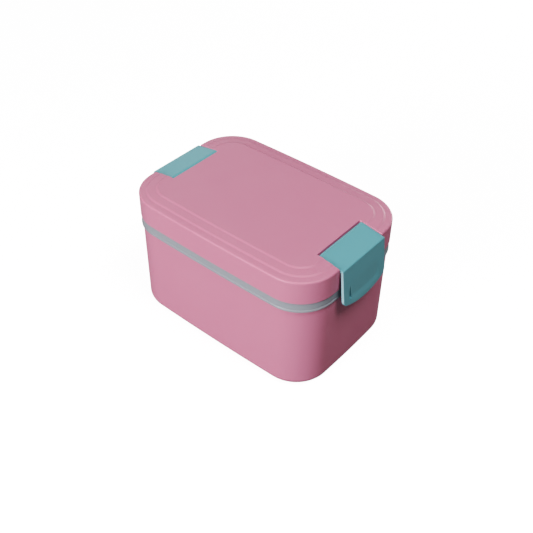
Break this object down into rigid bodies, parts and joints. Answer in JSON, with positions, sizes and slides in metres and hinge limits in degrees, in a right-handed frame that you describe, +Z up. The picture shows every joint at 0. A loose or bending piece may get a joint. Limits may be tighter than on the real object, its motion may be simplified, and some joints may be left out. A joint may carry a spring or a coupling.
{
  "type": "bento lunch box",
  "caption": "Rounded rectangular lunch box with a stepped lid, an inner tray whose rim shows as a band, and a hinged snap latch at each end.",
  "frame": {"origin": "middle of the footprint, on the surface that the box stands on", "axes": "+X along the box from the left latch to the right latch, +Y across it, +Z up"},
  "size_m": [0.18, 0.115, 0.1],
  "materials": {
    "pink_shell": "satin moulded polypropylene",
    "teal_latch": "satin moulded polypropylene",
    "teal_tray": "satin moulded polypropylene",
    "pale_liner": "satin moulded polypropylene",
    "silicone_seal": "soft translucent silicone",
    "steel_pin": "drawn wire"
  },
  "bodies": {
    "base": {"base_shell": "pink_shell"},
    "tray": {"inner_tray": "teal_tray", "tray_seal": "silicone_seal"},
    "divider": {"tray_divider": "teal_tray"},
    "lid": {"lid_shell": "pink_shell", "lid_liner": "pale_liner", "lid_seal": "silicone_seal", "hinge_pin_right": "steel_pin", "hinge_pin_left": "steel_pin"},
    "right_latch": {"latch_right": "teal_latch"},
    "left_latch": {"latch_left": "teal_latch"}
  },
  "joints": [
    {"name": "lid_lift", "type": "slide", "parent": "base", "child": "lid", "axis": [0, 0, 1], "range_m": [0, 0.08]},
    {"name": "right_latch_hinge", "type": "hinge", "parent": "lid", "child": "right_latch", "pos_m": [0.0676, 0, 0.0975], "axis": [0, -1, 0], "range_deg": [0, 95]},
    {"name": "left_latch_hinge", "type": "hinge", "parent": "lid", "child": "left_latch", "pos_m": [-0.0676, 0, 0.0975], "axis": [0, 1, 0], "range_deg": [0, 95]},
    {"name": "tray_lift", "type": "slide", "parent": "base", "child": "tray", "axis": [0, 0, 1], "range_m": [0, 0.038]},
    {"name": "divider_lift", "type": "slide", "parent": "tray", "child": "divider", "axis": [0, 0, 1], "range_m": [0, 0.032]}
  ],
  "couplings": [
    {"joint": "right_latch_hinge", "follows": "lid_lift", "rad_per_m": 20.7},
    {"joint": "left_latch_hinge", "follows": "lid_lift", "rad_per_m": 20.7},
    {"joint": "tray_lift", "follows": "lid_lift", "ratio": 0.475},
    {"joint": "divider_lift", "follows": "lid_lift", "ratio": 0.4}
  ]
}
